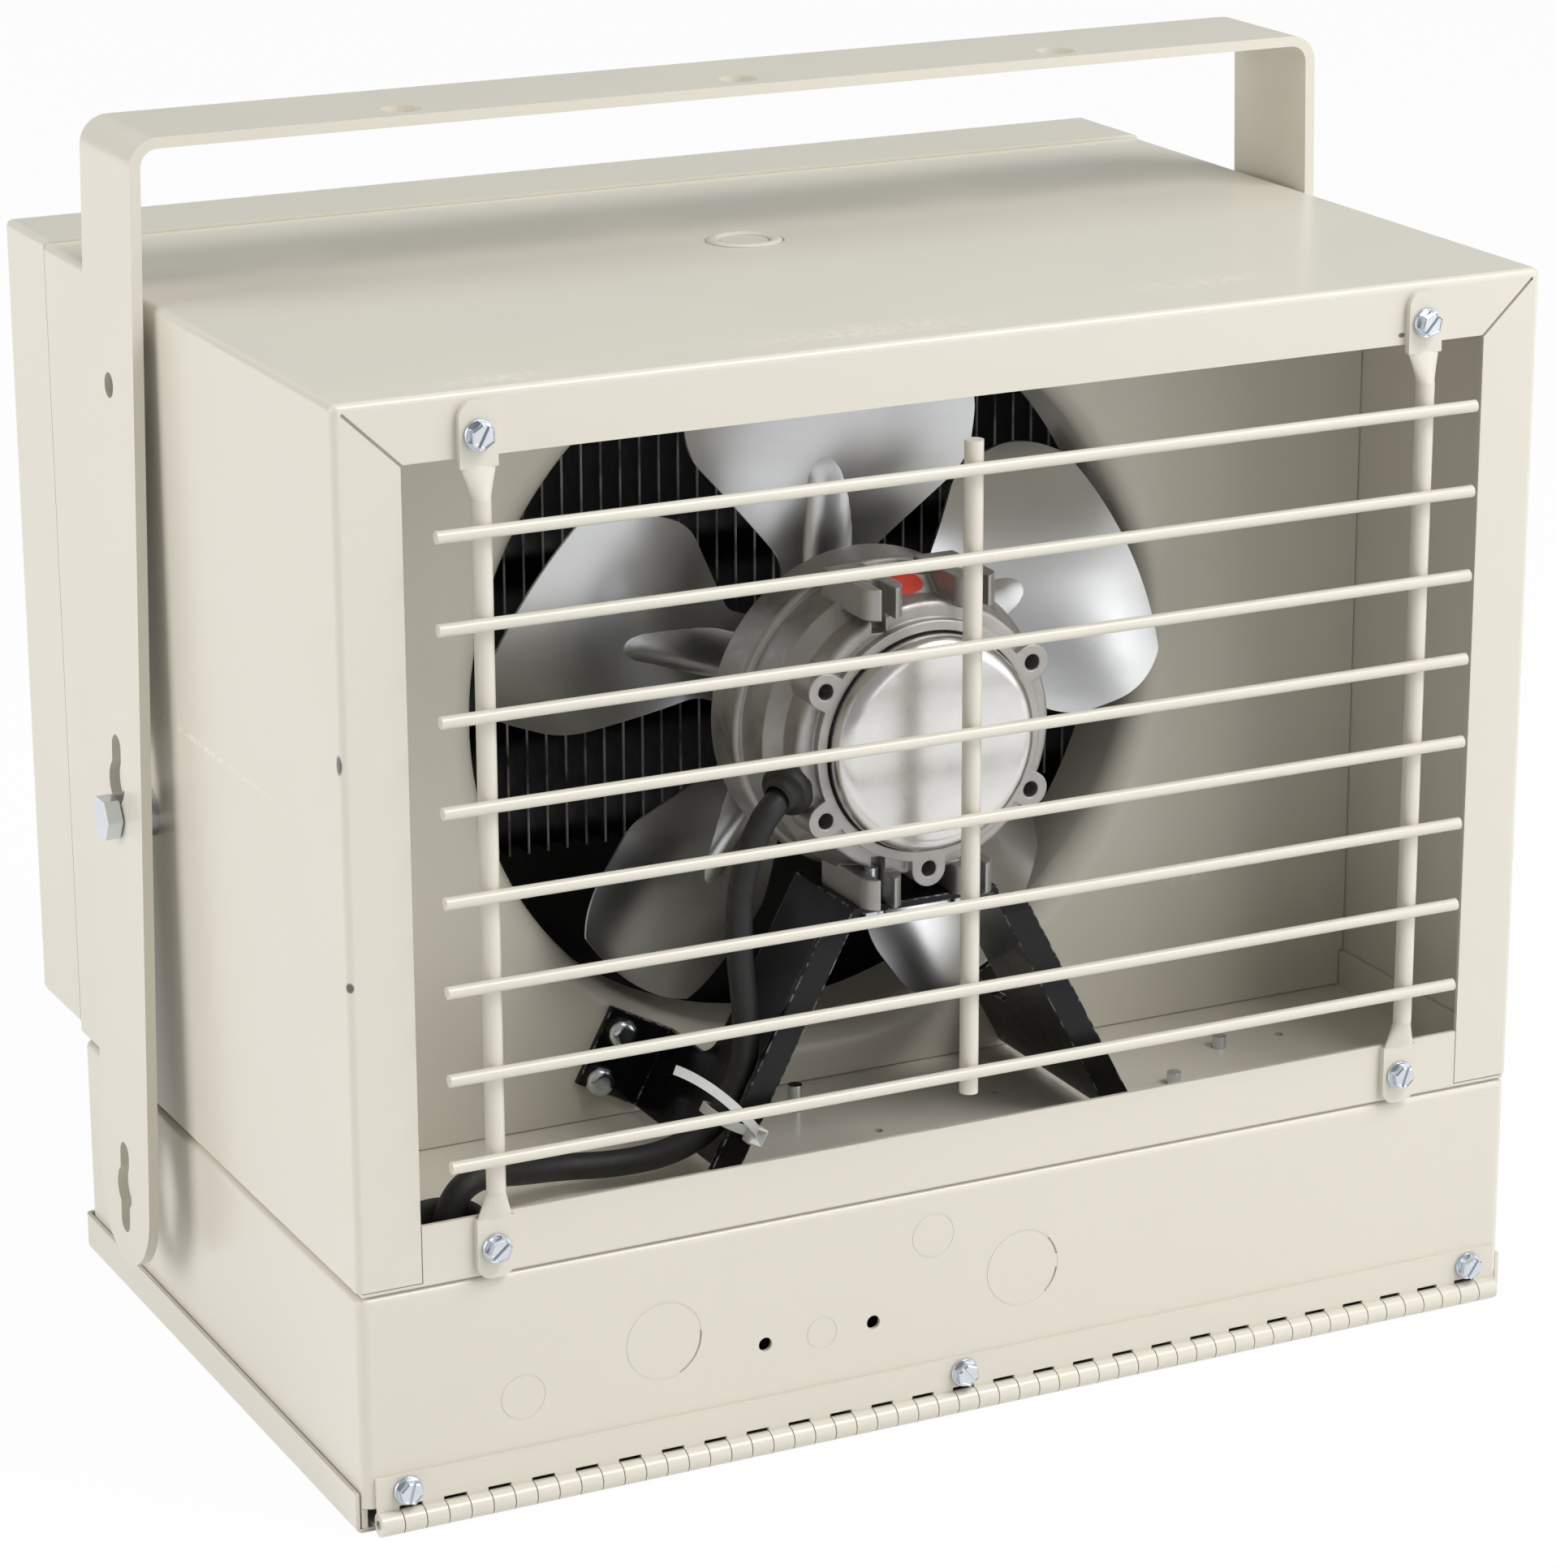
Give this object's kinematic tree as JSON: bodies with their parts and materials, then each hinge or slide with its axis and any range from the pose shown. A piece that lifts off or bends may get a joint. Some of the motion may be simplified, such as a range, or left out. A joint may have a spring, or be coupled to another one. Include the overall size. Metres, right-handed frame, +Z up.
{
  "type": "utility heater",
  "caption": "Box-shaped electric fan heater with a rod guard over a motor-driven fan, finned element, outlet louvers, hinged bottom door and a tilting mounting yoke.",
  "frame": {"origin": "underside of the bottom door, below the middle of the casing's width and depth", "axes": "+X to the right along the intake side, +Y towards the discharge side, +Z up"},
  "size_m": [0.3852, 0.2621, 0.35],
  "materials": {
    "almond_paint": "semi-gloss almond enamel",
    "hinge_steel": "zinc plated",
    "zinc_screw": "bright zinc",
    "die_cast": "as cast",
    "bright_cap": "bright drawn steel",
    "black_paint": "gloss black enamel",
    "blade_aluminium": "mill finish",
    "shaft_steel": "ground",
    "black_rubber": "matte",
    "clear_nylon": "natural nylon",
    "element_black": "baked black",
    "plated_sheet": "galvanised",
    "black_moulding": "moulded",
    "brass_screw": "plain"
  },
  "bodies": {
    "cabinet": {"wrapper": "almond_paint", "floor_pan": "almond_paint", "divider_panel": "almond_paint", "front_frame": "almond_paint", "louver_rail_left": "almond_paint", "louver_rail_right": "almond_paint", "control_box": "almond_paint", "hinge_fixed_leaf": "almond_paint", "hinge_pin": "hinge_steel", "hinge_screws": "zinc_screw", "intake_guard": "almond_paint", "guard_screws": "zinc_screw", "pivot_bolts": "zinc_screw", "pivot_spacers": "zinc_screw", "pivot_nuts": "zinc_screw", "motor_housing": "die_cast", "motor_end_cap": "bright_cap", "motor_bracket": "black_paint", "bracket_screws": "zinc_screw", "motor_mount_screws": "zinc_screw", "motor_lead": "black_rubber", "lead_grommet": "black_rubber", "floor_bushing": "black_rubber", "cable_tie": "clear_nylon", "element_fins": "element_black", "element_tubes": "element_black", "element_end_plate_left": "plated_sheet", "element_end_plate_right": "plated_sheet", "element_baffle": "element_black", "limit_switch": "plated_sheet", "contactor": "black_moulding", "contactor_screws": "zinc_screw", "terminal_block": "black_moulding", "terminal_screws": "brass_screw", "earth_screw": "zinc_screw"},
    "yoke": {"yoke": "almond_paint"},
    "door": {"access_door": "almond_paint", "hinge_door_leaf": "almond_paint"},
    "fan": {"fan_blades": "blade_aluminium", "fan_hub": "blade_aluminium", "fan_screws": "zinc_screw", "motor_shaft": "shaft_steel"},
    "louver_1": {"louver_1": "almond_paint"},
    "louver_2": {"louver_2": "almond_paint"},
    "louver_3": {"louver_3": "almond_paint"},
    "louver_4": {"louver_4": "almond_paint"},
    "louver_5": {"louver_5": "almond_paint"},
    "louver_6": {"louver_6": "almond_paint"}
  },
  "joints": [
    {"name": "yoke_tilt", "type": "hinge", "parent": "cabinet", "child": "yoke", "pos_m": [0, 0.02, 0.158], "axis": [1, 0, 0], "range_deg": [-90, 30]},
    {"name": "door_hinge", "type": "hinge", "parent": "cabinet", "child": "door", "pos_m": [0, -0.1286, 0.0032], "axis": [-1, 0, 0], "range_deg": [0, 100]},
    {"name": "fan_spin", "type": "hinge", "parent": "cabinet", "child": "fan", "pos_m": [0, -0.06, 0.18805], "axis": [0, 1, 0], "continuous": true},
    {"name": "louver_1_tilt", "type": "hinge", "parent": "cabinet", "child": "louver_1", "pos_m": [0, 0.1095, 0.1032], "axis": [1, 0, 0], "range_deg": [-30, 60]},
    {"name": "louver_2_tilt", "type": "hinge", "parent": "cabinet", "child": "louver_2", "pos_m": [0, 0.1095, 0.1372], "axis": [1, 0, 0], "range_deg": [-30, 60]},
    {"name": "louver_3_tilt", "type": "hinge", "parent": "cabinet", "child": "louver_3", "pos_m": [0, 0.1095, 0.1712], "axis": [1, 0, 0], "range_deg": [-30, 60]},
    {"name": "louver_4_tilt", "type": "hinge", "parent": "cabinet", "child": "louver_4", "pos_m": [0, 0.1095, 0.2052], "axis": [1, 0, 0], "range_deg": [-30, 60]},
    {"name": "louver_5_tilt", "type": "hinge", "parent": "cabinet", "child": "louver_5", "pos_m": [0, 0.1095, 0.2392], "axis": [1, 0, 0], "range_deg": [-30, 60]},
    {"name": "louver_6_tilt", "type": "hinge", "parent": "cabinet", "child": "louver_6", "pos_m": [0, 0.1095, 0.2732], "axis": [1, 0, 0], "range_deg": [-30, 60]}
  ]
}
